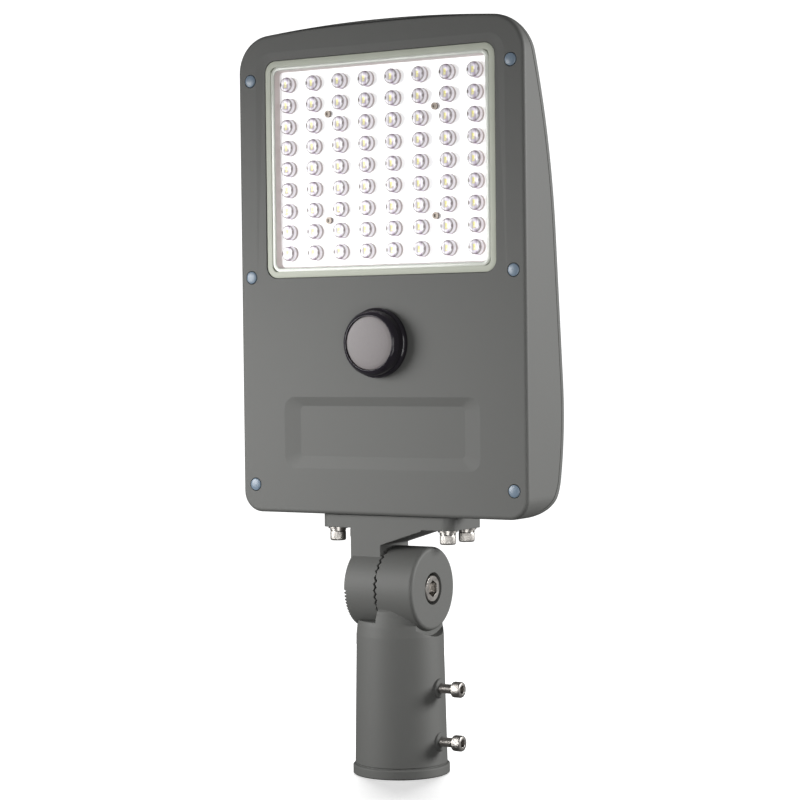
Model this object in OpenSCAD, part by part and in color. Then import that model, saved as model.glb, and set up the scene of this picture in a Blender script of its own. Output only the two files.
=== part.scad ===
// Solar street lamp: a die-cast light head on a serrated knuckle, held on a pole by a slip fitter.
// Origin at the centre of the pole socket's mouth, +Z up the pole, the light faces -Y. Millimetres.

/* [Light head] */
// Width of the head across X
head_w = 271; // [240:1:300]
// Height of the head from its bottom edge to the top of its crown
head_h = 399.6; // [380:0.1:420]
// Radius of the two upper corners
top_corner_r = 30; // [24:1:40]
// Radius of the two lower corners
low_corner_r = 17; // [12:1:22]
// Radius of the gentle crown along the top edge
crown_r = 1190; // [900:10:1600]
// Rounding between the front face and the sides
face_edge_r = 3; // [1:0.5:4]
// Distance of the front face in front of the pole's axis
face_y = 27.4; // [24:0.1:32]
// Distance of the deepest part of the back behind the pole's axis
back_y_max = 33.2; // [30:0.1:38]
// Wall thickness of the cast housing
wall = 3.2; // [2.5:0.1:4]
// Thickness of the back cover's rim
cover_t = 3.9; // [3:0.1:5]

/* [Light window] */
// Number of lenses across
lens_cols = 8; // [4:1:8]
// Number of lens rows
lens_rows = 9; // [4:1:9]
// Distance between lens columns
lens_pitch_x = 25.4; // [24:0.1:25.4]
// Distance between lens rows
lens_pitch_z = 17.37; // [16:0.01:17.37]
// Diameter of one lens
lens_d = 12.9; // [10:0.1:14]
// Width of the window gasket at the sides
gasket_side = 5.5; // [4:0.1:8]
// Width of the window gasket at the top and bottom
gasket_end = 4.8; // [4:0.1:7]
// Width of the lens plate's raised rim at the sides
rim_side = 3.4; // [2:0.1:4]
// Width of the lens plate's raised rim at the top and bottom
rim_end = 2.4; // [2:0.1:4]

/* [Sensor] */
// Diameter of the sensor's foot on the face
sensor_d = 56.4; // [50:0.1:60]
// Distance that the sensor stands out of the face
sensor_out = 16; // [10:0.5:20]

/* [Knuckle and fitter] */
// Height of the tilt axis above the pole socket's mouth
pivot_z = 151.6; // [150:0.1:165]
// Outer radius of the knuckle and of the fitter's ear
knuckle_r = 34; // [32:0.5:36]
// Number of teeth round the serrated faces
teeth = 40; // [36:4:48]
// Height of one tooth
tooth_h = 1.6; // [1:0.1:2]
// Inner radius of the pole socket
socket_r = 31; // [30.5:0.1:31.5]
// Depth of the pole socket
socket_depth = 100; // [80:1:104]
// Outer radius of the collar at its mouth
collar_r = 37.9; // [37:0.05:39]
// Outer radius of the ring round the mouth
mouth_r = 39.6; // [39:0.1:41]
// Radius of the bosses that the clamp screws go through
clamp_boss_r = 7.9; // [6.5:0.1:10]
// Distance that the clamp screws' heads stand off their bosses
screw_standoff = 11.5; // [8:0.5:14]

/* [Hidden] */
$fn = 64;
e = 0.01;

head_z0 = pivot_z + 60;
head_z1 = head_z0 + head_h;
crown_z = head_z1 - crown_r;
top_corner_x = head_w/2 - top_corner_r;
top_corner_z = crown_z + sqrt(pow(crown_r - top_corner_r, 2) - pow(top_corner_x, 2));
crown_a = atan2(top_corner_z - crown_z, top_corner_x);

// The back, seen from the side, is a corner arc, a long arc, a straight slope and a top arc.
back_a_r = 260;
back_a_z = head_z0 + 85;
back_a_y = back_y_max - back_a_r;
back_d_r = 38;
back_d_z = head_z0 + back_d_r;
back_d_y = back_a_y + sqrt(pow(back_a_r - back_d_r, 2) - pow(back_d_z - back_a_z, 2));
back_d_a = atan2(back_d_z - back_a_z, back_d_y - back_a_y);
slope_a = atan(0.085);
slope_end_z = head_z0 + 225;
slope_l = (slope_end_z - back_a_z - back_a_r*sin(slope_a))/cos(slope_a);
back_c_r = 530;
back_c_y = back_a_y + back_a_r*cos(slope_a) - slope_l*sin(slope_a) - back_c_r*cos(slope_a);
back_c_z = back_a_z + back_a_r*sin(slope_a) + slope_l*cos(slope_a) - back_c_r*sin(slope_a);
cover_low_a = -76;
seal_t = 0.7;
seam_d = cover_t + seal_t;
lip_d = seam_d + 0.8;

// The window, the parts in it, and the dish round it
win_z = head_z0 + 283.5;
win_hx = 109;
win_hz = 89.7;
win_r = 10;
ring_hx = win_hx - gasket_side;
ring_hz = win_hz - gasket_end;
pocket_depth = 11;
board_t = 1.5;
lens_base_t = 1.2;
lens_dome_h = 5.6;
chip_s = 3;
chip_t = 0.6;
lens_screw_x = 2*lens_pitch_x;
lens_screw_dz = 2.5*lens_pitch_z;
board_y = -face_y + pocket_depth - board_t;
plate_front = board_y - chip_t - lens_base_t;
gasket_front = -face_y + 0.9;
rim_front = gasket_front + 0.2;

// The other features of the face
sensor_z = head_z0 + 139.5;
label_z = head_z0 + 66.5;
plug_r = 5;
plug_hole_r = 5.5;
plug_xs = [123.4, 124.4, 123];
plug_zs = [head_z0 + 358, head_z0 + 195, head_z0 + 22.8];
PLUGS = [for (i = [0:2], s = [-1, 1]) [s*plug_xs[i], plug_zs[i]]];
plug_depth = 7.5;
pillar_r = 7;
cover_pillar = 6;

// The solar panel on the back, and its cells
panel_hx = 121;
panel_z0 = head_z0 + 32;
panel_z1 = head_z0 + 380;
panel_zc = (panel_z0 + panel_z1)/2;
panel_hz = (panel_z1 - panel_z0)/2;
panel_r = 12;
sheet_inset = 1.6;
cell_cols = 4;
cell_rows = 9;
cell_gap = 2;
cell_margin = 8;
cell_w = (2*(panel_hx - cell_margin) + cell_gap)/cell_cols;
cell_h = (2*(panel_hz - cell_margin) + cell_gap)/cell_rows;
junction_z = head_z0 + 150;
junction_y = back_y(junction_z + 20, lip_d) - 10;

// The battery and the controller inside the head
cell_r = 16;
battery_zs = [head_z0 + 42, head_z0 + 77];
battery_y = 2;
controller_z = head_z0 + 118;
controller_y = -6;
wire_r = 1.8;

// The bracket under the head
plate_z1 = head_z0 - 0.5;
plate_z0 = plate_z1 - 10.5;
plate_hx = 63;
plate_y0 = -21.7;
plate_y1 = 30.5;
neck_hy = 21.7;
bolt_x = 52.5;
bolt_ys = [-10.5, 19.5];
BOLTS = [for (s = [-1, 1], y = bolt_ys) [s*bolt_x, y]];
washer_t = 1.6;
lock_t = 2;
bolt_head_h = 8;
bolt_r = 4;
cap_r = 6.5;
cap_socket_r = 3.45;
boss_r = 8.5;
boss_h = 21;

// The knuckle's two faces are in step at rest, with their crests a little apart
mesh_x = -2.5;
crest_gap = 0.3;
knuckle_x1 = mesh_x - crest_gap/2;
knuckle_x0 = -33;
ear_x0 = mesh_x + crest_gap/2;
ear_x1 = 32;
tooth_r0 = 27;
tooth_w = 5;
step_a = 360/teeth;
pin_r = 7;
pin_head_r = 10.8;
pin_head_h = 9;
nut_r = 12.1;
nut_h = 8;
nut_well = 11.8;
nut_x1 = knuckle_x0 + nut_well - 0.4;

// The collar
draft = 0.019;
collar_top = pivot_z - 15;
shoulder_z = pivot_z - 26;
mouth_h = 8;
mouth_groove = 0.7;
dish_depth = 0.8;
saddle_r = knuckle_r + 0.8;
clamp_zs = [71, 27.6];
clamp_face_x = 38.5;
clamp_head_x = clamp_face_x + screw_standoff;
clamp_hole_r = bolt_r + 0.05;

// ---- outlines ----

function arc(cx, cy, r, a0, a1, n) =
    [for (i = [0:n]) let (a = a0 + (a1 - a0)*i/n) [cx + r*cos(a), cy + r*sin(a)]];

function round_rect(hx, hy, r) = concat(
    arc(hx - r, -hy + r, r, -90, 0, 10), arc(hx - r, hy - r, r, 0, 90, 10),
    arc(-hx + r, hy - r, r, 90, 180, 10), arc(-hx + r, -hy + r, r, 180, 270, 10));

// The head's outline seen from the front, drawn in by an inset
function head_outline(inset) = concat(
    arc(head_w/2 - low_corner_r, head_z0 + low_corner_r, low_corner_r - inset, -90, 0, 12),
    arc(top_corner_x, top_corner_z, top_corner_r - inset, 0, crown_a, 16),
    arc(0, crown_z, crown_r - inset, crown_a + 0.3, 179.7 - crown_a, 16),
    arc(-top_corner_x, top_corner_z, top_corner_r - inset, 180 - crown_a, 180, 16),
    arc(-head_w/2 + low_corner_r, head_z0 + low_corner_r, low_corner_r - inset, 180, 270, 12));

// The curve of the back seen from the side as [y, z], d inside the skin, from the top down to angle low_a
function back_curve(d, low_a) = concat(
    arc(back_c_y, back_c_z, back_c_r - d, asin((head_z1 + 3 - back_c_z)/(back_c_r - d)), slope_a, 20),
    arc(back_a_y, back_a_z, back_a_r - d, slope_a, back_d_a, 10),
    arc(back_d_y, back_d_z, back_d_r - d, back_d_a, low_a, 16));

// How far back the skin is at height z, d inside it
function back_y(z, d) =
    z > slope_end_z ? back_c_y + sqrt(pow(back_c_r - d, 2) - pow(z - back_c_z, 2)) :
    z > back_a_z + back_a_r*sin(slope_a) ?
        back_a_y + (back_a_r - d)*cos(slope_a) - (z - back_a_z - back_a_r*sin(slope_a))*tan(slope_a) :
    z > back_d_z ? back_a_y + sqrt(pow(back_a_r - d, 2) - pow(z - back_a_z, 2)) :
    back_d_y + sqrt(pow(back_d_r - d, 2) - pow(z - back_d_z, 2));

// ---- placing ----

// A flat shape drawn as [x, z], from y0 back to y1
module slab(y0, y1) translate([0, y1, 0]) rotate([90, 0, 0]) linear_extrude(y1 - y0) children();

// A shape drawn as [y, z], across the whole width hx to either side
module across(hx) translate([-hx, 0, 0]) rotate([90, 0, 90]) linear_extrude(2*hx) children();

// A cylinder along X from x0 to x1
module x_rod(r, x0, x1) translate([x0, 0, 0]) rotate([0, 90, 0]) cylinder(r = r, h = x1 - x0);

// A cylinder along Y from y0 to y1
module y_rod(r, y0, y1) translate([0, y1, 0]) rotate([90, 0, 0]) cylinder(r = r, h = y1 - y0);

// A six-sided hole or nut along Z
module hexagon(r, h) cylinder(r = r, h = h, $fn = 6);

module at_pivot() translate([0, 0, pivot_z]) children();

// ---- light head ----

// Faces of a closed block made of rings of n points, the first ring at the front
function ring_faces(rings, n) = concat(
    [[for (i = [n - 1:-1:0]) i]],
    [for (k = [0:rings - 2], i = [0:n - 1])
        [k*n + i, k*n + (i + 1) % n, (k + 1)*n + (i + 1) % n, (k + 1)*n + i]],
    [[for (i = [0:n - 1]) (rings - 1)*n + i]]);

// The head's whole outline with a rounded front edge, back to y1, as [setback, inset] rings
module outer_block(y1) {
    rings = [for (k = [0:5]) [face_edge_r*(1 - sin(k*18)), face_edge_r*(1 - cos(k*18))]];
    levels = concat(reverse(rings), [[y1 + face_y, 0]]);
    polyhedron([for (l = levels) for (p = head_outline(l[1])) [p[0], -face_y + l[0], p[1]]],
        ring_faces(len(levels), len(head_outline(0))));
}

// Everything in front of the curve that lies d inside the back skin
module before_back(d) across(head_w)
    polygon(concat([[-face_y - 5, head_z1 + 3]], back_curve(d, -90), [[-face_y - 5, head_z0 + d]]));

// A shell that follows the back between depths d0 and d1
module back_band(d0, d1, low_a) across(head_w)
    polygon(concat(back_curve(d0, low_a), reverse(back_curve(d1, low_a))));

function reverse(v) = [for (i = [len(v) - 1:-1:0]) v[i]];

module housing_solid() difference() {
    intersection() {
        outer_block(45);
        before_back(0);
    }
    back_band(-3, seam_d, cover_low_a);
}

module housing_cavity() intersection() {
    slab(-face_y + wall, 50) polygon(head_outline(wall));
    before_back(wall);
}

module face_dish() hull() {
    for (s = [-1, 1]) {
        translate([s*(win_hx - 6), -face_y + dish_depth, win_z + win_hz - 8])
            rotate([90, 0, 0]) cylinder(r1 = 8, r2 = 34, h = 3, $fn = 32);
        translate([s*(win_hx + 2), -face_y - 1.7, win_z - win_hz - 22]) cube([1, 1.71, 1], center = true);
        translate([s*(win_hx + 9), -face_y - 1.7, win_z - win_hz - 10]) cube([1, 3.4, 1], center = true);
    }
}

module label_recess() hull() {
    slab(-face_y - 1, -face_y) translate([0, label_z]) polygon(round_rect(93, 29.3, 10));
    slab(-face_y, -face_y + 2) translate([0, label_z + 1.3]) polygon(round_rect(78.2, 20.6, 4));
}

module front_housing() color("dimgray") difference() {
    union() {
        difference() {
            housing_solid();
            housing_cavity();
        }
        intersection() {
            slab(-face_y + wall, -face_y + pocket_depth + 2.5) translate([0, win_z])
                polygon(round_rect(win_hx + 3, win_hz + 3, win_r + 3));
            before_back(lip_d + 0.3);
        }
        for (p = PLUGS) translate([p[0], 0, p[1]])
            y_rod(pillar_r, -face_y + wall - e, back_y(p[1], lip_d) - cover_pillar);
        slab(-face_y + wall - e, -face_y + wall + 2) translate([0, label_z]) polygon(round_rect(90, 27, 8));
        for (b = BOLTS) translate([b[0], b[1], plate_z1]) cylinder(r = boss_r, h = boss_h);
        intersection() {
            for (s = [-1, 1]) translate([s*bolt_x - boss_r, -face_y + wall - e, head_z0 + 1])
                cube([2*boss_r, 70, boss_h]);
            before_back(lip_d + 0.3);
        }
    }
    face_dish();
    label_recess();
    slab(-face_y - 1, -face_y + pocket_depth) translate([0, win_z])
        polygon(round_rect(win_hx + 0.1, win_hz + 0.1, win_r));
    translate([0, 0, win_z - 40]) y_rod(6, -face_y, 0);
    translate([0, 0, sensor_z]) y_rod(20.2, -face_y - 1, 0);
    for (p = PLUGS) translate([p[0], 0, p[1]]) {
        y_rod(plug_hole_r, -face_y - 1, -face_y + plug_depth);
        y_rod(2.6, -face_y, back_y(p[1], lip_d));
    }
    for (b = BOLTS) translate([b[0], b[1], plate_z1 - 1]) cylinder(r = bolt_r, h = 17);
}

module rear_cover() color("dimgray") difference() {
    union() {
        intersection() {
            back_band(0, cover_t, cover_low_a);
            outer_block(45);
        }
        intersection() {
            back_band(cover_t - e, lip_d, -40);
            slab(-face_y + wall + 0.3, 45) polygon(head_outline(wall + 1.2));
        }
        for (p = PLUGS) translate([p[0], 0, p[1]]) intersection() {
            y_rod(pillar_r - 0.5, back_y(p[1], lip_d) - cover_pillar, 45);
            before_back(cover_t - e);
        }
    }
    intersection() {
        back_band(-3, 2.3, -20);
        slab(-face_y, 45) translate([0, panel_zc]) polygon(round_rect(panel_hx, panel_hz, panel_r));
    }
    for (p = PLUGS) translate([p[0], 0, p[1]]) y_rod(2.5, -face_y, back_y(p[1], lip_d) + 2.2);
    for (b = BOLTS) translate([b[0], b[1], plate_z1]) cylinder(r = boss_r + 0.4, h = boss_h + 4);
}

module cover_seal() color("black") intersection() {
    back_band(cover_t, seam_d, cover_low_a + 2);
    difference() {
        slab(-face_y + 0.5, 45) polygon(head_outline(0.8));
        slab(-face_y - 1, 46) polygon(head_outline(wall - 0.2));
        for (b = BOLTS) translate([b[0], b[1], plate_z1]) cylinder(r = boss_r + 0.4, h = boss_h + 4);
    }
}

// ---- solar panel on the back ----

module panel_layer(d0, d1) intersection() {
    back_band(d0, d1, -20);
    slab(-face_y, 45) translate([0, panel_zc])
        polygon(round_rect(panel_hx - sheet_inset, panel_hz - sheet_inset, panel_r - sheet_inset));
}

module solar_backsheet() color("white") panel_layer(1.7, 2.3);

module solar_cells() color("midnightblue") intersection() {
    back_band(1.3, 1.7, -20);
    union() for (i = [0:cell_cols - 1], j = [0:cell_rows - 1])
        translate([-panel_hx + cell_margin + i*cell_w, -face_y, panel_z0 + cell_margin + j*cell_h])
            cube([cell_w - cell_gap, 80, cell_h - cell_gap]);
}

module solar_front_sheet() color("lightsteelblue", 0.4) panel_layer(0.2, 1.3);

module solar_seal() color("black") intersection() {
    back_band(0.3, 2.3, -20);
    slab(-face_y, 45) translate([0, panel_zc]) difference() {
        polygon(round_rect(panel_hx, panel_hz, panel_r));
        polygon(round_rect(panel_hx - sheet_inset, panel_hz - sheet_inset, panel_r - sheet_inset));
    }
}

module junction_box() color("black") translate([62, junction_y, junction_z]) difference() {
    translate([-25, 0, -20]) cube([50, 10, 40]);
    translate([-22, -1, -17]) cube([44, 9, 34]);
}

// ---- light window ----

module window_gasket() color("darkseagreen") difference() {
    intersection() {
        slab(gasket_front, -face_y + pocket_depth) translate([0, win_z])
            polygon(round_rect(win_hx, win_hz, win_r));
        before_back(lip_d + 0.3);
    }
    slab(-face_y, -face_y + pocket_depth + 1) translate([0, win_z])
        polygon(round_rect(ring_hx, ring_hz, win_r - 2));
}

module at_lenses() for (i = [0:lens_cols - 1], j = [0:lens_rows - 1])
    translate([(i - (lens_cols - 1)/2)*lens_pitch_x, 0, win_z + ((lens_rows - 1)/2 - j)*lens_pitch_z])
        children();

module at_lens_screws() for (sx = [-1, 1], sz = [-1, 1])
    translate([sx*lens_screw_x, 0, win_z + sz*lens_screw_dz]) children();

module led_board() color("white") difference() {
    slab(board_y, board_y + board_t) translate([0, win_z])
        polygon(round_rect(ring_hx - rim_side, ring_hz - rim_end, win_r - 4));
    at_lens_screws() y_rod(1.6, board_y - 1, board_y + board_t + 1);
    translate([0, 0, win_z - 40]) y_rod(4, board_y - 1, board_y + board_t + 1);
}

module led_chips() color("gold") at_lenses()
    translate([-chip_s/2, board_y - chip_t, -chip_s/2]) cube([chip_s, chip_t, chip_s]);

module lens_plate() color("whitesmoke", 0.6) difference() {
    union() {
        slab(rim_front, board_y) translate([0, win_z]) difference() {
            polygon(round_rect(ring_hx - 0.1, ring_hz - 0.1, win_r - 2.1));
            polygon(round_rect(ring_hx - rim_side, ring_hz - rim_end, win_r - 4));
        }
        slab(plate_front, board_y) translate([0, win_z])
            polygon(round_rect(ring_hx - 1, ring_hz - 1, win_r - 3));
        at_lenses() translate([0, plate_front + 0.5, 0]) rotate([90, 0, 0]) rotate_extrude()
            polygon([[0, 0], [lens_d/2, 0], [0.97*lens_d/2, 0.65*lens_dome_h],
                [0.82*lens_d/2, 0.88*lens_dome_h], [0.5*lens_d/2, lens_dome_h + 0.5],
                [0, lens_dome_h + 0.5]]);
    }
    at_lenses() translate([-2, board_y - chip_t - 0.3, -2]) cube([4, chip_t + 1, 4]);
    at_lens_screws() y_rod(1.6, board_y - 5, board_y + 1);
}

module lens_screw(i) color("silver") translate([(i % 2 == 0 ? 1 : -1)*lens_screw_x, 0,
    win_z + (i < 3 ? 1 : -1)*lens_screw_dz]) difference() {
    union() {
        y_rod(2.8, plate_front - 2, plate_front);
        y_rod(1.5, plate_front, board_y + board_t);
    }
    translate([0, plate_front - 1, 0]) rotate([90, 0, 0]) hexagon(1.5, 2);
}

// ---- motion sensor ----

module sensor_turn() translate([0, -face_y, sensor_z]) rotate([90, 0, 0]) rotate_extrude() children();

module sensor_body() color("black") difference() {
    sensor_turn() polygon([[0, -14], [20, -14], [20, 1], [sensor_d/2 - 1, 1], [sensor_d/2, 1.8],
        [sensor_d/2, 4.5], [sensor_d/2 - 0.8, 5.6], [26.6, 6], [26.2, 12], [24.9, sensor_out - 2],
        [23.8, sensor_out - 0.8], [22.1, sensor_out], [21.7, sensor_out - 0.3], [21.6, sensor_out - 2.6],
        [0, sensor_out - 2.6]]);
    translate([0, 0, sensor_z]) y_rod(17, -face_y + 2, 0);
}

module sensor_window() color("dimgray") sensor_turn()
    polygon(concat([[0, sensor_out - 2.6], [21.5, sensor_out - 2.6]],
        [for (i = [0:6]) [21.5*cos(i*15), sensor_out - 1.4 + 1.3*sin(i*15)]]));

module sensor_seal() color("black") sensor_turn() polygon([[21, 0], [27, 0], [27, 1], [21, 1]]);

module sensor_nut() color("black") translate([0, 0, sensor_z]) difference() {
    translate([0, -face_y + wall + 7, 0]) rotate([90, 0, 0]) hexagon(29, 7);
    y_rod(20.05, -face_y, 0);
}

// ---- screws of the back cover and their plugs ----

module screw_plug(i) color("lightsteelblue") translate([PLUGS[i - 1][0], -face_y, PLUGS[i - 1][1]])
    rotate([90, 0, 0]) rotate_extrude() polygon(concat([[0, -3.5], [plug_r, -3.5]],
        [for (k = [0:6]) [plug_r*cos(k*15), 0.1 + 1.1*sin(k*15)]]));

module cover_screw(i) color("silver") translate([PLUGS[i - 1][0], 0, PLUGS[i - 1][1]]) difference() {
    union() {
        y_rod(4.5, -face_y + plug_depth - 3.5, -face_y + plug_depth);
        y_rod(2.5, -face_y + plug_depth - e, back_y(PLUGS[i - 1][1], lip_d) + 1.5);
    }
    translate([0, -face_y + plug_depth - 1.5, 0]) rotate([90, 0, 0]) hexagon(2.3, 3);
}

// ---- battery, controller and wires inside the head ----

module battery_cells() color("royalblue") for (z = battery_zs, x = [-1, 0, 1])
    translate([0, battery_y, z]) x_rod(cell_r, x*72 - 35, x*72 + 35);

module battery_tray() color("black") difference() {
    translate([-111, battery_y - cell_r - 2, battery_zs[0] - cell_r - 2])
        cube([222, cell_r + 2, 2*cell_r + 39]);
    for (z = battery_zs) translate([0, battery_y, z]) x_rod(cell_r, -108, 108);
    translate([-108, battery_y - cell_r, battery_zs[0]]) cube([216, cell_r + 3, 35]);
}

module charge_controller() color("darkgreen") difference() {
    translate([-106, controller_y, controller_z]) cube([66, 1.6, 46]);
    for (x = [-102, -44], z = [4, 42]) translate([x, 0, controller_z + z])
        y_rod(1.6, controller_y - 1, controller_y + 3);
}

module controller_parts() color("black") {
    translate([-100, controller_y - 9, controller_z + 8]) cube([16, 9, 14]);
    translate([-62, controller_y - 7, controller_z + 8]) cube([14, 7, 10]);
    for (k = [0:2]) translate([-76 + 11*k, 0, controller_z + 32]) y_rod(4, controller_y - 12, controller_y);
    translate([-104, controller_y + 1.6, controller_z + 28]) cube([26, 5, 9]);
}

module wire(points, r) for (i = [0:len(points) - 2]) hull() {
    translate(points[i]) sphere(r = r, $fn = 8);
    translate(points[i + 1]) sphere(r = r, $fn = 8);
}

module wiring() color("firebrick") {
    wire([[0, -14, win_z - 40], [0, 2, win_z - 44], [-20, 4, win_z - 92], [-73, 1, controller_z + 44]],
        wire_r);
    wire([[-70, 1, controller_z + 2], [-72, 21, controller_z - 4], [-72, 21, controller_z - 12]],
        wire_r);
}

// ---- bracket ----

// Wedge-shaped grooves between teeth, cut along X into the face at x, opening toward dir
module tooth_grooves(x, dir, phase, count, pitch, w, h, r0, r1) for (i = [0:count - 1])
    rotate([i*pitch + phase, 0, 0]) translate([x, r0, 0]) rotate([-90, 0, 0]) linear_extrude(r1 - r0)
        polygon([[dir*0.2, -w/2 - 0.31], [-dir*h, 0], [dir*0.2, w/2 + 0.31]]);

// A drum along X with its rim rounded by fillet at x1
module drum(r, x0, x1, fillet) translate([x0, 0, 0]) rotate([0, 90, 0]) rotate_extrude()
    polygon(concat([[0, 0], [r, 0]], arc(r - fillet, x1 - x0 - fillet, fillet, 0, 90, 8), [[0, x1 - x0]]));

module head_bracket() color("dimgray") difference() {
    union() {
        translate([0, (plate_y0 + plate_y1)/2, plate_z0]) linear_extrude(plate_z1 - plate_z0)
            polygon(round_rect(plate_hx, (plate_y1 - plate_y0)/2, 10));
        translate([knuckle_x0, -neck_hy, pivot_z])
            cube([knuckle_x1 - 2 - knuckle_x0, 2*neck_hy, plate_z0 - pivot_z + 1]);
        translate([0, neck_hy, 0]) rotate([90, 0, 0]) linear_extrude(2*neck_hy)
            polygon([[-5, pivot_z + 35.5], [34, plate_z0 - 1], [34, plate_z0 + 1], [-5, plate_z0 + 1]]);
        at_pivot() mirror([1, 0, 0]) drum(knuckle_r, -knuckle_x1, -knuckle_x0, 2);
    }
    at_pivot() {
        x_rod(pin_r + 0.05, -50, 10);
        x_rod(14.2, knuckle_x0 - 1, knuckle_x0 + nut_well);
        x_rod(tooth_r0, knuckle_x1 - 2, knuckle_x1 + 1);
        tooth_grooves(knuckle_x1, 1, 0, teeth, step_a, tooth_w, tooth_h, tooth_r0 - 1, knuckle_r + 1);
        tooth_grooves(knuckle_x0, -1, 182.5, 36, 5, 2.2, 3, 29, knuckle_r + 1);
    }
    for (b = BOLTS) translate([b[0], b[1], plate_z0 - 1]) cylinder(r = bolt_r + 0.5, h = 20);
}

module at_bolt(i) translate([BOLTS[i - 1][0], BOLTS[i - 1][1], 0]) children();

module flat_washer(i) color("silver") at_bolt(i) difference() {
    translate([0, 0, plate_z0 - washer_t]) cylinder(r = 8, h = washer_t);
    translate([0, 0, plate_z0 - 5]) cylinder(r = bolt_r + 0.2, h = 10);
}

module lock_washer(i) color("silver") at_bolt(i) difference() {
    translate([0, 0, plate_z0 - washer_t - lock_t]) cylinder(r = 6.6, h = lock_t);
    translate([0, 0, plate_z0 - 9]) cylinder(r = bolt_r + 0.1, h = 14);
    translate([3, -0.5, plate_z0 - 9]) cube([6, 1, 14]);
}

// A socket-head screw standing on its head, its head's lower face at z = 0
module cap_screw(r, head_r, head_h, l, socket_r) difference() {
    union() {
        rotate_extrude() polygon([[0, 0], [head_r - 0.6, 0], [head_r, 0.6], [head_r, head_h], [0, head_h]]);
        cylinder(r = r, h = head_h + l);
    }
    translate([0, 0, -1]) hexagon(socket_r, head_h*0.6 + 1);
}

module bracket_bolt(i) color("silver") at_bolt(i)
    translate([0, 0, plate_z0 - washer_t - lock_t - bolt_head_h])
        cap_screw(bolt_r, cap_r, bolt_head_h, 26, cap_socket_r);

// ---- slip fitter ----

module collar_turn() rotate_extrude() polygon([[0, 0], [mouth_r - 0.8, 0], [mouth_r, 0.8],
    [mouth_r, mouth_h - 1], [mouth_r - 1, mouth_h], [collar_r - mouth_groove, mouth_h],
    [collar_r - mouth_groove, mouth_h + 0.6], [collar_r - draft*mouth_h, mouth_h + 1.2],
    [collar_r - draft*(pivot_z - 38), pivot_z - 38], [34.9, pivot_z - 30], [33.2, pivot_z - 22],
    [31.2, collar_top - 2], [29.2, collar_top], [0, collar_top]]);

module collar_block() difference() {
    union() {
        collar_turn();
        for (z = clamp_zs) translate([0, 0, z]) {
            x_rod(clamp_boss_r, 30, clamp_face_x - 0.8);
            translate([clamp_face_x - 0.8, 0, 0]) rotate([0, 90, 0])
                cylinder(r1 = clamp_boss_r, r2 = clamp_boss_r - 0.8, h = 0.8);
        }
    }
    translate([-60 + ear_x0, -50, shoulder_z]) cube([60, 100, 60]);
    at_pivot() x_rod(saddle_r, -60, ear_x0);
    at_pivot() x_rod(knuckle_r + 4.5, 28, 60);
}

module slip_fitter() color("dimgray") difference() {
    union() {
        collar_block();
        at_pivot() drum(knuckle_r, ear_x0, ear_x1, 3);
    }
    translate([0, 0, -1]) cylinder(r = socket_r, h = socket_depth + 1);
    for (z = clamp_zs) translate([0, 0, z]) x_rod(clamp_hole_r, 20, 60);
    at_pivot() {
        x_rod(pin_r + 0.1, -10, 40);
        x_rod(13.1, ear_x1 - pin_head_h - 0.3, 40);
        x_rod(tooth_r0, ear_x0 - 1, ear_x0 + 2);
        tooth_grooves(ear_x0, -1, step_a/2, teeth, step_a, tooth_w, tooth_h, tooth_r0 - 1, knuckle_r + 0.6);
    }
}

module pivot_bolt() color("silver") at_pivot() translate([ear_x1 - 0.3, 0, 0]) rotate([0, -90, 0])
    cap_screw(pin_r, pin_head_r, pin_head_h, 54.5, 6.95);

module pivot_washer() color("silver") at_pivot() difference() {
    x_rod(13.6, nut_x1 - 2, nut_x1);
    x_rod(pin_r + 0.2, -50, 0);
}

module pivot_nut() color("silver") at_pivot() difference() {
    translate([nut_x1 - 2 - nut_h, 0, 0]) rotate([0, 90, 0]) hexagon(nut_r, nut_h);
    x_rod(pin_r, -50, 0);
}

module clamp_screw(z) color("silver") translate([clamp_head_x + bolt_head_h + 0.3, 0, z])
    rotate([0, -90, 0]) cap_screw(bolt_r, cap_r, bolt_head_h, clamp_head_x + 0.3 - socket_r, cap_socket_r);

front_housing();
rear_cover();
cover_seal();
solar_backsheet();
solar_cells();
solar_front_sheet();
solar_seal();
junction_box();
window_gasket();
led_board();
led_chips();
lens_plate();
for (i = [1:4]) lens_screw(i);
sensor_body();
sensor_window();
sensor_seal();
sensor_nut();
for (i = [1:6]) screw_plug(i);
for (i = [1:6]) cover_screw(i);
battery_cells();
battery_tray();
charge_controller();
controller_parts();
wiring();
head_bracket();
for (i = [1:4]) bracket_bolt(i);
for (i = [1:4]) flat_washer(i);
for (i = [1:4]) lock_washer(i);
slip_fitter();
pivot_bolt();
pivot_washer();
pivot_nut();
clamp_screw(clamp_zs[0]);  // clamp_screw_upper
clamp_screw(clamp_zs[1]);  // clamp_screw_lower
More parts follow.
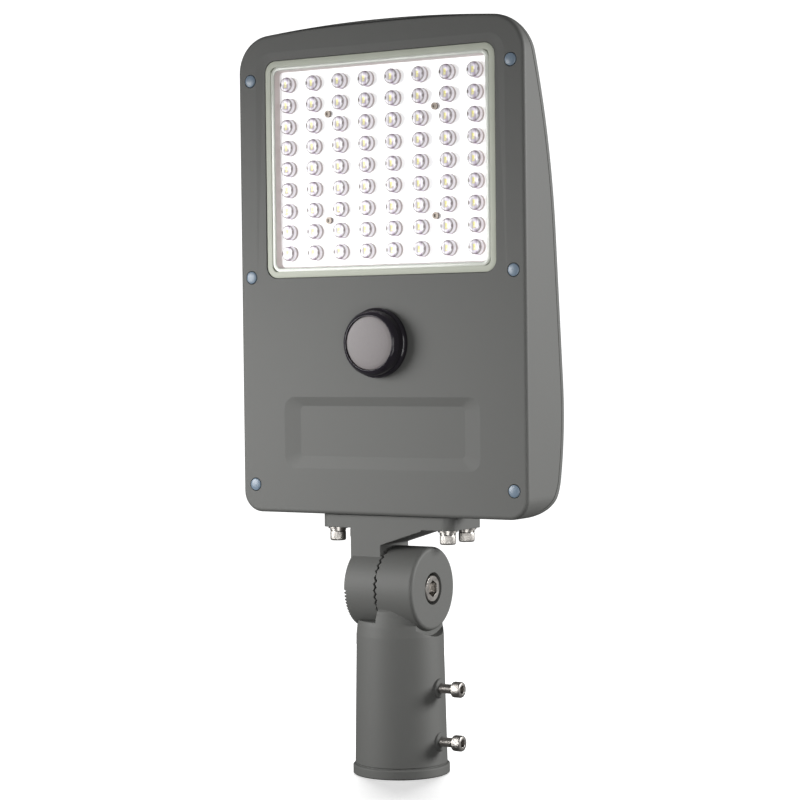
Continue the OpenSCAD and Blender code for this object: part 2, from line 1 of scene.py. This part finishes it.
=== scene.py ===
import math
import bmesh
import bpy
import numpy as np
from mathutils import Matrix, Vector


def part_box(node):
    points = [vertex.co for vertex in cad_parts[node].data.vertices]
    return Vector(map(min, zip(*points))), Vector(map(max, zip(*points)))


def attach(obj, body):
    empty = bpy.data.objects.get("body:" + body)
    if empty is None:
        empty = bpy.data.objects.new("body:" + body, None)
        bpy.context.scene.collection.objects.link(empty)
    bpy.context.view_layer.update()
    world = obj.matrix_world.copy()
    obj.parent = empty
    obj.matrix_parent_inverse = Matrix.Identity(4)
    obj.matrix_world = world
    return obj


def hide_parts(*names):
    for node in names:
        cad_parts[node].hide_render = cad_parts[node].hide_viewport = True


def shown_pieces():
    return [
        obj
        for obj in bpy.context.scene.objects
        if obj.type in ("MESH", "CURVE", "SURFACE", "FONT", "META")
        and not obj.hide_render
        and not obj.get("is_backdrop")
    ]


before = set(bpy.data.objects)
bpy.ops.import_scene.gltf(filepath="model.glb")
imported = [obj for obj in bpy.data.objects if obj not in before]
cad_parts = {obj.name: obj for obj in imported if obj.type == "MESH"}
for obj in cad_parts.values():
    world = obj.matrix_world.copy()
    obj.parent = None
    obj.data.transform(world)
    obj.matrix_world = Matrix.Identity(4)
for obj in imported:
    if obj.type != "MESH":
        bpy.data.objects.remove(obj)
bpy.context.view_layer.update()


# The castings: pole fitter, head bracket, front shell and back cover. Aluminium, pressure die cast,
# then powder coated dark grey and baked. The coat flows a little, so it rounds every arris and dries
# to a very fine orange peel.
class Grade:
    """A value on its way through a finish's nodes. A sign on it adds the Math node that it names."""

    def __init__(self, tree, socket):
        self.tree, self.socket = tree, socket

    def feed(self, socket, value):
        if isinstance(value, Grade):
            self.tree.links.new(value.socket, socket)
        elif isinstance(value, tuple) and len(value) == 3 and socket.type == "RGBA":
            socket.default_value = (*value, 1.0)
        else:
            socket.default_value = value

    def node(self, kind, setting=None, values=None, out=0):
        made = self.tree.nodes.new("ShaderNode" + kind)
        for name, value in (setting or {}).items():
            if name == "stops":
                stops = made.color_ramp.elements
                while len(stops) < len(value):
                    stops.new(1.0)
                for stop, (at, colour) in zip(stops, value):
                    stop.position, stop.color = at, (*colour, 1.0)
            else:
                setattr(made, name, value)
        for name, value in (values or {}).items():
            self.feed(made.inputs[name], value)
        return Grade(self.tree, made.outputs[out])

    def math(self, sign, *terms):
        return self.node("Math", {"operation": sign}, dict(enumerate(terms)))

    def __add__(self, other):
        return self.math("ADD", self, other)

    def __sub__(self, other):
        return self.math("SUBTRACT", self, other)

    def __rsub__(self, other):
        return self.math("SUBTRACT", other, self)

    def __mul__(self, other):
        return self.math("MULTIPLY", self, other)

    def __truediv__(self, other):
        return self.math("DIVIDE", self, other)

    def __mod__(self, other):
        return self.math("FLOORED_MODULO", self, other)

    def __pow__(self, other):
        return self.math("POWER", self, other)

    def __lt__(self, other):
        return self.math("LESS_THAN", self, other)

    def __gt__(self, other):
        return self.math("GREATER_THAN", self, other)

    def __abs__(self):
        return self.math("ABSOLUTE", self)

    __radd__, __rmul__ = __add__, __mul__


def new_finish(name, **fixed):
    """A finish with one Principled surface: its material, that surface, and the place on the piece."""
    material = bpy.data.materials.new(name)
    material.use_nodes = True
    surface = material.node_tree.nodes["Principled BSDF"]
    start = Grade(material.node_tree, None)
    for socket, value in fixed.items():
        start.feed(surface.inputs[socket.replace("_", " ")], value)
    return material, surface, start.node("TexCoord", out="Object")


def speckle(place, scale, detail=2.0, rough=0.5):
    """Noise with that many waves to a metre."""
    return place.node("TexNoise", {"noise_dimensions": "3D"},
                      {"Vector": place, "Scale": scale, "Detail": detail, "Roughness": rough})


def blend(mask, low, high):
    """The colour low where the mask is 0 and high where it is 1."""
    return mask.node("Mix", {"data_type": "RGBA"}, {0: mask, 6: low, 7: high}, out=2)


def relief(height, depth, strength=1.0, over=None):
    """Bumps as deep as depth metres where the height is 1, on top of an earlier normal if one is given."""
    values = {"Height": height, "Distance": depth, "Strength": strength}
    if over is not None:
        values["Normal"] = over
    return height.node("Bump", None, values)


def lay_on(surface, place, **grades):
    """Links grades to the sockets of a surface."""
    for socket, value in grades.items():
        place.feed(surface.inputs[socket.replace("_", " ")], value)


def coat_nodes(material, *names):
    """Gives CAD nodes a finish."""
    for name in names:
        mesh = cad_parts[name].data
        mesh.materials.clear()
        mesh.materials.append(material)


coat, surface, place = new_finish("powder_coat", Specular_IOR_Level=0.42)
peel = speckle(place, 900.0, 3.0, 0.6)
flow = speckle(place, 210.0, 2.0)
drift = speckle(place, 16.0, 3.0)
soft_arris = place.node("Bevel", {"samples": 6}, {"Radius": 0.0009})
lay_on(surface, place,
       Base_Color=blend(drift * 0.7 + peel * 0.3, (0.080, 0.081, 0.077), (0.096, 0.097, 0.092)),
       Roughness=0.50 + 0.16 * peel + 0.05 * drift,
       Normal=relief(peel * 0.7 + flow * 0.5, 0.00009, 0.55, soft_arris))
coat_nodes(coat, "slip_fitter", "head_bracket", "front_housing", "rear_cover")


# The pivot bolt, its washer and nut, and the washers under the head: stainless steel, turned and
# stamped, left bright. Faint tool marks and a thin haze are all that breaks the shine.
steel, surface, place = new_finish("bright_stainless", Metallic=1.0)
mark = speckle(place, 1500.0, 2.0)
haze = speckle(place, 260.0, 3.0)
lay_on(surface, place,
       Base_Color=blend(haze, (0.28, 0.265, 0.25), (0.44, 0.42, 0.395)),
       Roughness=0.26 + 0.20 * haze,
       Normal=relief(mark, 0.00002, 0.5, place.node("Bevel", {"samples": 4}, {"Radius": 0.0003})))
coat_nodes(steel, "pivot_bolt", "pivot_washer", "pivot_nut", *(f"cover_screw_{i}" for i in range(1, 7)),
           *(f"{kind}_washer_{i}" for kind in ("flat", "lock") for i in range(1, 5)))


# The socket-head screws: four M8 screws hold the bracket to the head and two clamp the pole. Stainless
# steel, cold headed with a hexagonal socket, the head knurled and the thread rolled.
def skin(rings, loop=False):
    """Points and faces of the skin over k rings of n points: each point joins the next in its ring and
    the same one in the next ring. The end rings close with one face each, or join each other in a loop."""
    k, n = rings.shape[:2]
    here = np.arange(k * n).reshape(k, n)
    if loop:
        here = np.vstack([here, here[:1]])
    there = np.roll(here, -1, 1)
    quads = np.stack([here[:-1], there[:-1], there[1:], here[1:]], -1).reshape(-1, 4).tolist()
    return rings.reshape(-1, 3), quads + ([] if loop else [here[0, ::-1].tolist(), here[-1].tolist()])


def new_piece(name, points, faces, materials, body, stands_for, slot, sharp=35.0):
    """One closed piece of the lamp, its faces turned outwards, riding on a body in place of CAD nodes."""
    mesh = bpy.data.meshes.new(name)
    mesh.from_pydata(points, [], faces)
    shape = bmesh.new()
    shape.from_mesh(mesh)
    bmesh.ops.recalc_face_normals(shape, faces=shape.faces)
    shape.to_mesh(mesh)
    shape.free()
    mesh.shade_smooth()
    mesh.set_sharp_from_angle(angle=math.radians(sharp))
    for material in materials:
        mesh.materials.append(material)
    piece = bpy.data.objects.new(name, mesh)
    bpy.context.scene.collection.objects.link(piece)
    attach(piece, body)
    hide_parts(*stands_for)
    return piece


def socket_screw(node, axis, tip_end):
    """Rings round the screw's axis from the socket's floor, over the head and down the shank. The socket's
    radius is that of a hexagon, the head's has one notch in every two points, and the thread's falls
    and rises once for each pitch along the shank less one for each turn round it."""
    low, high = (np.array(c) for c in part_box(node))
    n = 96
    turn = np.arange(n) * 2 * np.pi / n
    length = (high - low)[axis]
    across = [i for i in range(3) if i != axis]
    head_r = (high - low)[across[0]] / 2
    head_h = 0.008
    shank_r = 0.00395
    hexagon = 0.00345 * math.cos(math.pi / 6) / np.cos((turn + math.pi / 6) % (math.pi / 3) - math.pi / 6)
    plain = np.ones(n)
    knurl = np.where(np.arange(n) % 2 == 0, 1.0, 0.962)
    rows = [(0.0048, hexagon * 0.05), (0.0044, hexagon), (0.0003, hexagon), (0.0, hexagon + 0.0003),
            (0.0, plain * (head_r - 0.0009)), (0.0003, plain * (head_r - 0.0004)),
            (0.0009, plain * (head_r - 0.00012))]
    rows += [(h, head_r * knurl) for h in (0.0013, 0.0068)]
    rows += [(0.0073, plain * (head_r - 0.0002)), (head_h - 0.0002, plain * (head_r - 0.0003)),
             (head_h, plain * (head_r - 0.0005)), (head_h, plain * (shank_r + 0.0002)),
             (head_h + 0.0003, plain * shank_r)]
    pitch = 0.00125
    for down in np.arange(head_h + 0.0012, length - 0.0012, pitch / 6):
        wave = np.abs(((down / pitch - turn / (2 * np.pi)) % 1.0) - 0.5) * 2
        rows.append((down, shank_r - 0.0006 * (1 - wave)))
    rows += [(length - 0.0006, plain * (shank_r - 0.0006)), (length, plain * (shank_r - 0.0012))]
    down = np.array([r[0] for r in rows])
    radius = np.array([r[1] for r in rows])
    rings = np.zeros((len(rows), n, 3))
    middle = (low + high) / 2
    rings[..., across[0]] = middle[across[0]] + radius * np.cos(turn)
    rings[..., across[1]] = middle[across[1]] + radius * np.sin(turn)
    rings[..., axis] = (low[axis] + down if tip_end == "high" else high[axis] - down)[:, None]
    return skin(rings)


for i in range(1, 5):
    new_piece(f"bracket_screw_{i}", *socket_screw(f"bracket_bolt_{i}", 2, "high"), [steel], "head",
              [f"bracket_bolt_{i}"], "stainless")
for side in ("upper", "lower"):
    new_piece(f"pole_clamp_screw_{side}", *socket_screw(f"clamp_screw_{side}", 0, "low"), [steel],
              f"clamp_{side}", [f"clamp_screw_{side}"], "stainless")


# The black seals: a cord between the two shells, a bead round the solar panel and a ring under the
# sensor. EPDM rubber and silicone sealant, matt, with the faint grain of an extruded cord.
seal_rubber, surface, place = new_finish("black_seal", Specular_IOR_Level=0.3)
grain = speckle(place, 1400.0, 3.0)
lay_on(surface, place, Base_Color=blend(grain, (0.012, 0.012, 0.012), (0.028, 0.028, 0.027)),
       Roughness=0.62 + 0.2 * grain, Normal=relief(grain, 0.00004, 0.5))
coat_nodes(seal_rubber, "cover_seal", "solar_seal", "sensor_seal")


# The window gasket: a pale grey-green silicone frame, moulded in one piece, pressed into the front shell
# round the lens plate. Its front is flat with small rounded lips.
silicone, surface, place = new_finish("pale_silicone", Specular_IOR_Level=0.35)
cloud = speckle(place, 60.0, 3.0)
grain = speckle(place, 1300.0, 2.0)
lay_on(surface, place,
       Base_Color=blend(cloud * 0.8 + grain * 0.2, (0.380, 0.398, 0.335), (0.440, 0.458, 0.390)),
       Roughness=0.46 + 0.14 * grain, Normal=relief(grain, 0.00003, 0.5))


def frame_rings(half_x, half_z, corner, middle_z, profile, steps=12):
    """A rounded rectangle for each profile point: the point's first number draws the outline in from the
    outer edge, and its second is how far back it lies."""
    inset = np.array([p[0] for p in profile])[:, None]
    quarter = np.linspace(0, np.pi / 2, steps)
    angle = np.concatenate([quarter + q * np.pi / 2 for q in range(4)])[None]
    sign_x = np.repeat([1, -1, -1, 1], steps)[None]
    sign_z = np.repeat([1, 1, -1, -1], steps)[None]
    small = np.maximum(corner - inset, 0.0004)
    x = sign_x * (half_x - inset - small) + small * np.cos(angle)
    z = middle_z + sign_z * (half_z - inset - small) + small * np.sin(angle)
    return np.stack([x, np.broadcast_to(np.array([p[1] for p in profile])[:, None], x.shape), z], -1)


low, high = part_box("window_gasket")
window_z = (low.z + high.z) / 2
front, back = low.y, high.y
ring_w = 0.0054
profile = [(0.00015, back - 0.004), (0.00015, front + 0.0005), (0.0003, front + 0.0002), (0.0006, front),
           (ring_w - 0.0004, front), (ring_w - 0.0001, front + 0.0001),
           (ring_w, front + 0.0004), (ring_w, back - 0.004)]
rings = frame_rings(high.x, (high.z - low.z) / 2, 0.010, window_z, profile)
new_piece("gasket_moulding", *skin(rings, loop=True), [silicone], "head", ["window_gasket"], "window_rubber")


# The board and its light-emitting chips: an aluminium-core board with a white solder mask, and 72 chips
# soldered on it, each a yellow phosphor square in a white case.
mask_white, surface, place = new_finish("white_solder_mask", Specular_IOR_Level=0.5)
grain = speckle(place, 800.0, 2.0)
lay_on(surface, place, Base_Color=blend(grain, (0.90, 0.90, 0.90), (0.95, 0.95, 0.95)),
       Roughness=0.35 + 0.1 * grain)
coat_nodes(mask_white, "led_board")
phosphor, surface, place = new_finish("yellow_phosphor", Specular_IOR_Level=0.4)
grain = speckle(place, 3000.0, 2.0)
lay_on(surface, place, Base_Color=blend(grain, (0.85, 0.70, 0.12), (0.95, 0.86, 0.30)),
       Roughness=0.4 + 0.2 * grain)
coat_nodes(phosphor, "led_chips")


# The lens plate: one clear polycarbonate moulding, a tray with a raised rim and 72 tall round lenses.
# The white board shows through it, the rim's walls look greyish pink, and the gloss is that of the mould.
tray_clear, surface, place = new_finish("clear_tray", Roughness=0.10, Specular_IOR_Level=0.5)
ripple = speckle(place, 90.0, 2.0)
lay_on(surface, place, Base_Color=blend(ripple, (0.93, 0.93, 0.94), (0.99, 0.99, 0.99)),
       Normal=relief(ripple, 0.00006, 0.4))
rim_clear, surface, place = new_finish("clear_rim", Roughness=0.14, Specular_IOR_Level=0.5)
ripple = speckle(place, 150.0, 2.0)
lay_on(surface, place, Base_Color=blend(ripple, (0.46, 0.48, 0.43), (0.55, 0.57, 0.52)),
       Normal=relief(ripple, 0.00005, 0.4))
wall_clear, surface, place = new_finish("clear_wall", Roughness=0.22, Specular_IOR_Level=0.5)
ripple = speckle(place, 110.0, 3.0)
lay_on(surface, place, Base_Color=blend(ripple, (0.56, 0.50, 0.48), (0.72, 0.66, 0.64)),
       Normal=relief(ripple, 0.00005, 0.4))

low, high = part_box("lens_plate")
half_x, half_z = high.x, (high.z - low.z) / 2
chips_low, chips_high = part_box("led_chips")
columns, rows_n, chip_w = 8, 9, 0.003
pitch_x = (chips_high.x - chips_low.x - chip_w) / (columns - 1)
pitch_z = (chips_high.z - chips_low.z - chip_w) / (rows_n - 1)
floor_y = chips_low.y - 0.0012
rim_y = front + 0.0002
rim_x = 0.0033
profile = [(0.0, high.y), (0.0, rim_y + 0.0005), (0.0002, rim_y + 0.0001), (0.0006, rim_y),
           (rim_x - 0.0005, rim_y),
           (rim_x - 0.0001, rim_y + 0.0002), (rim_x, rim_y + 0.0006), (rim_x + 0.0008, floor_y - 0.0006),
           (rim_x + 0.0011, floor_y - 0.0001), (rim_x + 0.0016, floor_y)]
rings = frame_rings(half_x, half_z, 0.0079, window_z, profile)
tray = new_piece("lens_tray", *skin(rings), [tray_clear, rim_clear, wall_clear], "head", ["lens_plate"],
                 "lens_clear")
band = np.repeat([1, 1, 1, 1, 1, 1, 2, 2, 0], rings.shape[1]).tolist() + [0, 0]
tray.data.polygons.foreach_set("material_index", band)
tray.visible_shadow = False

# Each lens is a flat-crowned dome with steep sides, moulded with the tray. Its colour is a painted view
# through the clear plastic: the chip is drawn tall between pale and mauve bars, painted shade lies as dark
# rings on the dome's shoulders and foot with a darker spot at either end, and the sides carry a faint
# painted glow of their own in place of the white board's light coming through the clear plastic.
lens_glass, surface, place = new_finish("lens_dome", Roughness=0.09, Specular_IOR_Level=0.5,
                                        Emission_Strength=0.26)
own = place.node("UVMap", {"uv_map": "lens"})
u, v = (own.node("SeparateXYZ", None, {0: own}, out) for out in ("X", "Y"))
reach = place.node("Attribute", {"attribute_name": "reach"}, out="Fac")
fogged = speckle(place, 420.0, 2.0)
# Painted shade: the dark bands in this ramp are shade drawn on each lens's shoulders and foot.
painted_ring_shade = reach.node("ValToRGB", {"stops": [
    (0.0, (0.88, 0.86, 0.89)), (0.46, (0.80, 0.77, 0.81)), (0.54, (0.68, 0.65, 0.67)),
    (0.60, (0.42, 0.38, 0.37)), (0.66, (0.52, 0.48, 0.47)), (0.70, (0.88, 0.86, 0.88)),
    (0.86, (0.92, 0.90, 0.92)), (0.91, (0.40, 0.355, 0.34)), (1.0, (0.40, 0.355, 0.34))]}, {"Fac": reach})
bar_tint = u.node("ValToRGB", {"stops": [
    (0.0, (0.80, 0.78, 0.80)), (0.20, (0.90, 0.90, 0.92)), (0.30, (1.0, 1.0, 1.0)),
    (0.37, (0.62, 0.60, 0.63)), (0.43, (0.95, 0.94, 0.95)), (0.56, (0.72, 0.66, 0.75)),
    (0.68, (0.58, 0.52, 0.62)), (0.74, (0.98, 0.98, 1.0)), (0.84, (0.95, 0.95, 0.97)),
    (1.0, (0.85, 0.83, 0.85))]}, {"Fac": u * 0.5 + 0.5})
multiply = {"data_type": "RGBA", "blend_type": "MULTIPLY"}
tint = painted_ring_shade.node("Mix", multiply, {0: 1.0, 6: painted_ring_shade, 7: bar_tint}, out=2)
left_spot = (abs((u + 0.74) / 0.15) ** 2.0 + abs(v / 0.26) ** 2.0) < 1.0
right_spot = (abs((u - 0.76) / 0.11) ** 2.0 + abs(v / 0.20) ** 2.0) < 1.0
chip_seen = (abs(u + 0.02) < 0.17) * (abs(v + 0.02) < 0.36) * (reach < 0.5)
pale_seen = (abs(u + 0.02) < 0.11) * (abs(v + 0.2) < 0.1) * (reach < 0.5)
tint = blend(left_spot * 0.9, tint, (0.10, 0.08, 0.075))
tint = blend(right_spot * 0.7, tint, (0.20, 0.17, 0.17))
tint = blend(chip_seen * 0.9, tint, (0.86, 0.79, 0.24))
tint = blend(pale_seen * 0.7, tint, (0.96, 0.95, 0.80))
# Painted glow: the sides emit more than the crown, in place of the board's light coming through the clear
# plastic.
painted_side_glow = blend(reach > 0.68, (0.20, 0.19, 0.20), (1.0, 0.98, 1.0))
glow = tint.node("Mix", multiply, {0: 1.0, 6: tint, 7: painted_side_glow}, out=2)
lay_on(surface, place, Base_Color=tint, Emission_Color=glow, Normal=relief(fogged, 0.00003, 0.4))

dome_r = 0.00645
sides = 36
dome_h = floor_y - low.y
around = np.arange(sides) * 2 * np.pi / sides
reach_at = np.array([0.06, 0.2, 0.34, 0.46, 0.55, 0.62, 0.68, 0.74, 0.84, 0.92, 1.0, 1.0])
radius = np.array([0.06, 0.28, 0.50, 0.68, 0.80, 0.88, 0.935, 0.965, 0.98, 0.99, 1.0, 1.03]) * dome_r
height = np.array([0.93, 0.95, 0.99, 1.0, 0.975, 0.93, 0.85, 0.74, 0.5, 0.25, 0.05, -0.06]) * dome_h
centre_x = (np.arange(columns) - (columns - 1) / 2) * pitch_x
centre_z = window_z + (np.arange(rows_n) - (rows_n - 1) / 2) * pitch_z
one = np.stack(np.broadcast_arrays(radius[:, None] * np.cos(around), floor_y - height[:, None],
                                   radius[:, None] * np.sin(around)), -1)
points, faces = skin(one)
places = np.stack(np.broadcast_arrays(centre_x[:, None], 0.0, centre_z[None]), -1).reshape(-1, 1, 3)
all_points = (places + points[None]).reshape(-1, 3)
all_faces = [[p + i * len(points) for p in face] for i in range(len(places)) for face in faces]
domes = new_piece("lens_domes", all_points, all_faces, [lens_glass], "head", ["lens_plate"], "lens_clear",
                  50.0)
domes.visible_shadow = False
local = np.tile(points[:, [0, 2]] / dome_r, (len(places), 1))
corner = np.zeros(len(domes.data.loops), np.int32)
domes.data.loops.foreach_get("vertex_index", corner)
domes.data.uv_layers.new(name="lens").data.foreach_set("uv", local[corner].astype(np.float32).ravel())
domes.data.attributes.new("reach", "FLOAT", "POINT").data.foreach_set(
    "value", np.tile(np.repeat(reach_at, sides), len(places)).astype(np.float32))


# The four lens screws: small pan-head screws, brown zinc, that hold the plate and board to the shell.
zinc, surface, place = new_finish("brown_zinc", Metallic=0.6)
haze = speckle(place, 900.0, 3.0)
lay_on(surface, place, Base_Color=blend(haze, (0.20, 0.17, 0.145), (0.34, 0.30, 0.26)),
       Roughness=0.35 + 0.25 * haze)
coat_nodes(zinc, *(f"lens_screw_{i}" for i in range(1, 5)))


# The motion sensor: a stepped collar turned from gloss-black ABS, and its satin lens disc. The nut that
# holds it is behind the face.
sensor_gloss, surface, place = new_finish("gloss_black", Specular_IOR_Level=0.5, Coat_Roughness=0.06)
dust = speckle(place, 500.0, 3.0)
lay_on(surface, place, Base_Color=blend(dust, (0.008, 0.006, 0.010), (0.014, 0.011, 0.017)),
       Roughness=0.07 + 0.07 * dust,
       Normal=relief(dust, 0.00001, 0.4, place.node("Bevel", {"samples": 6}, {"Radius": 0.0007})))
coat_nodes(sensor_gloss, "sensor_body", "sensor_nut")
sensor_satin, surface, place = new_finish("satin_disc", Specular_IOR_Level=0.45)
dust = speckle(place, 1500.0, 3.0)
lay_on(surface, place, Base_Color=blend(dust, (0.120, 0.105, 0.107), (0.160, 0.145, 0.146)),
       Roughness=0.38 + 0.15 * dust, Normal=relief(dust, 0.00003, 0.5))
coat_nodes(sensor_satin, "sensor_window")


# The six screw plugs: pale-blue silicone domes pressed in over the case screws.
plug_blue, surface, place = new_finish("pale_blue_silicone", Specular_IOR_Level=0.5)
cloud = speckle(place, 900.0, 2.0)
lay_on(surface, place, Base_Color=blend(cloud, (0.120, 0.165, 0.215), (0.165, 0.215, 0.275)),
       Roughness=0.26 + 0.12 * cloud)
coat_nodes(plug_blue, *(f"screw_plug_{i}" for i in range(1, 7)))


# The solar panel on the back: a white film, 36 dark blue silicon cells cut to bend with the case, and a
# clear front film. Each cell has fine silver fingers across it and two wider bars along it.
cell_blue, surface, place = new_finish("silicon_cell", Specular_IOR_Level=0.5, Roughness=0.28)
panel_low, panel_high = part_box("solar_cells")
gap, across_n, finger_pitch = 0.002, 4, 0.0017
cell_w = (panel_high.x - panel_low.x + gap) / across_n
x_in = place.node("SeparateXYZ", None, {0: place}, "X") - panel_low.x
z_in = place.node("SeparateXYZ", None, {0: place}, "Z") - panel_low.z
finger = abs((z_in / finger_pitch) % 1.0 - 0.5) > 0.44
in_cell = (x_in / cell_w) % 1.0
bar = (abs(in_cell - 0.25) < 0.014) + (abs(in_cell - 0.73) < 0.014)
grain = speckle(place, 60.0, 2.0)
blue = blend(grain, (0.006, 0.010, 0.034), (0.012, 0.020, 0.060))
lined = blend(finger * 0.55, blue, (0.30, 0.32, 0.36))
lay_on(surface, place, Base_Color=blend(bar, lined, (0.62, 0.63, 0.64)),
       Metallic=0.25 + 0.5 * bar)
coat_nodes(cell_blue, "solar_cells")
film_white, surface, place = new_finish("white_film", Specular_IOR_Level=0.4)
grain = speckle(place, 500.0, 2.0)
lay_on(surface, place, Base_Color=blend(grain, (0.74, 0.75, 0.75), (0.82, 0.82, 0.82)),
       Roughness=0.5 + 0.1 * grain)
coat_nodes(film_white, "solar_backsheet")
film_clear, surface, place = new_finish("clear_film", Base_Color=(0.20, 0.26, 0.36), Specular_IOR_Level=0.6)
wave = speckle(place, 700.0, 2.0)
lay_on(surface, place, Alpha=0.14 + 0.06 * wave, Roughness=0.12 + 0.16 * wave,
       Normal=relief(wave, 0.00003, 0.5))
coat_nodes(film_clear, "solar_front_sheet")


# Inside the head: six cells in blue shrink sleeve in a black tray, the charge controller's green board
# with its parts, a junction box for the panel's leads, and red silicone wires.
black_nylon, surface, place = new_finish("black_nylon", Specular_IOR_Level=0.4)
grain = speckle(place, 900.0, 3.0)
lay_on(surface, place, Base_Color=blend(grain, (0.015, 0.015, 0.016), (0.03, 0.03, 0.031)),
       Roughness=0.5 + 0.2 * grain, Normal=relief(grain, 0.00004, 0.5))
coat_nodes(black_nylon, "junction_box", "battery_tray", "controller_parts")
sleeve, surface, place = new_finish("blue_sleeve", Specular_IOR_Level=0.5)
wrinkle = speckle(place, 220.0, 3.0)
lay_on(surface, place, Base_Color=blend(wrinkle, (0.02, 0.07, 0.28), (0.04, 0.12, 0.40)),
       Roughness=0.25 + 0.2 * wrinkle, Normal=relief(wrinkle, 0.0001, 0.5))
coat_nodes(sleeve, "battery_cells")
mask_green, surface, place = new_finish("green_solder_mask", Specular_IOR_Level=0.5)
tracks = place.node("TexVoronoi", {"feature": "DISTANCE_TO_EDGE"}, {"Vector": place, "Scale": 260.0})
lay_on(surface, place, Base_Color=blend(tracks < 0.06, (0.01, 0.10, 0.03), (0.03, 0.22, 0.07)),
       Roughness=0.3 + 0.2 * tracks)
coat_nodes(mask_green, "charge_controller")
wire_red, surface, place = new_finish("red_silicone", Specular_IOR_Level=0.4)
grain = speckle(place, 700.0, 2.0)
lay_on(surface, place, Base_Color=blend(grain, (0.30, 0.01, 0.01), (0.44, 0.03, 0.025)),
       Roughness=0.4 + 0.2 * grain)
coat_nodes(wire_red, "wiring")


# The studio: a pale sheet for a floor in a dim room with white walls, a large soft box high behind on the
# right, three weaker ones in front, and one behind for the floor. The floor throws little light back up.
paper, surface, place = new_finish("pale_paper", Specular_IOR_Level=0.0, Roughness=0.9)
fibre = speckle(place, 3.0, 2.0)
seen = place.node("LightPath", out="Is Camera Ray")
sheet_white = blend(fibre, (0.92, 0.92, 0.92), (0.94, 0.94, 0.94))
lay_on(surface, place, Base_Color=blend(seen, (0.20, 0.20, 0.20), sheet_white),
       Emission_Color=blend(fibre, (0.98, 0.98, 0.98), (1.0, 1.0, 1.0)), Emission_Strength=seen * 0.54)
sweep = bpy.data.meshes.new("floor")
floor_r, floor_sides = 0.8, 96
around = np.arange(floor_sides) * 2 * np.pi / floor_sides
sweep.from_pydata(np.stack([floor_r * np.cos(around), floor_r * np.sin(around), 0 * around], -1), [],
                  [list(range(floor_sides))])
sweep.materials.append(paper)
sweep = bpy.data.objects.new("floor", sweep)
bpy.context.scene.collection.objects.link(sweep)
sweep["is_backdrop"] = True

room = bpy.data.worlds.new("white_room")
room.use_nodes = True
bpy.context.scene.world = room
air = Grade(room.node_tree, None)
seen = air.node("LightPath", out="Is Camera Ray")
air.feed(room.node_tree.nodes["Background"].inputs["Color"], (1.0, 1.0, 1.0, 1.0))
air.feed(room.node_tree.nodes["Background"].inputs["Strength"], 0.20 + seen * 1.0)


lamp_only = bpy.data.collections.new("lamp_only")
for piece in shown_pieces():
    lamp_only.objects.link(piece)
floor_only = bpy.data.collections.new("floor_only")
floor_only.objects.link(sweep)
fitter_only = bpy.data.collections.new("fitter_only")
fitter_only.objects.link(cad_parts["slip_fitter"])


def soft_box(name, at, aim, size, watts, lights_up, spread=180.0):
    """A square lamp at one point turned to face another, which lights one collection of objects. A grid on
    its front holds the light to that spread in degrees."""
    lamp = bpy.data.lights.new(name, "AREA")
    lamp.shape, lamp.size, lamp.energy, lamp.spread = "SQUARE", size, watts, math.radians(spread)
    box = bpy.data.objects.new(name, lamp)
    bpy.context.scene.collection.objects.link(box)
    box.light_linking.receiver_collection = lights_up
    box.visible_camera = False
    box.location = at
    box.rotation_mode = "QUATERNION"
    box.rotation_quaternion = (Vector(aim) - Vector(at)).to_track_quat("-Z", "Y")
    return box


soft_box("key_right", (2.20, 1.25, 0.85), (0.0, 0.0, 0.15), 0.72, 86.0, lamp_only)
soft_box("fill_left", (-0.56, -0.62, 0.38), (-0.06, 0.0, 0.13), 0.50, 2.5, lamp_only, 90.0)
soft_box("front_right", (1.0, -1.6, 0.25), (0.0, 0.0, 0.20), 0.9, 7.4, lamp_only)
soft_box("low_front", (0.42, -0.62, 0.03), (0.0, 0.0, 0.05), 0.30, 1.7, lamp_only)
back_sweep = soft_box("back_sweep", (-1.15, 2.00, 2.20), (0.0, 0.0, 0.0), 2.0, 130.0, floor_only)
back_sweep.light_linking.blocker_collection = fitter_only

# The camera stands a little right of the lamp's front and a little above its middle, on a long lens.
eye = bpy.data.cameras.new("camera")
eye.sensor_width, eye.lens = 36.0, 102.347
camera = bpy.data.objects.new("camera", eye)
bpy.context.scene.collection.objects.link(camera)
bpy.context.scene.camera = camera
turn_a, tilt_a, roll_a = math.radians(31.780156), math.radians(1.409157), math.radians(-0.666871)
back_way = Vector((math.sin(turn_a) * math.cos(tilt_a), -math.cos(turn_a) * math.cos(tilt_a),
                      math.sin(tilt_a)))
target = Vector((0.00176526, 0.00109438, 0.30434892))
level = (-back_way).to_track_quat("-Z", "Y")
camera.rotation_mode = "QUATERNION"
camera.rotation_quaternion = level @ Matrix.Rotation(roll_a, 3, "Z").to_quaternion()
camera.location = target + back_way * 1.855407
eye.clip_start, eye.clip_end = 0.05, 100.0
bpy.context.scene.view_settings.view_transform = "Standard"
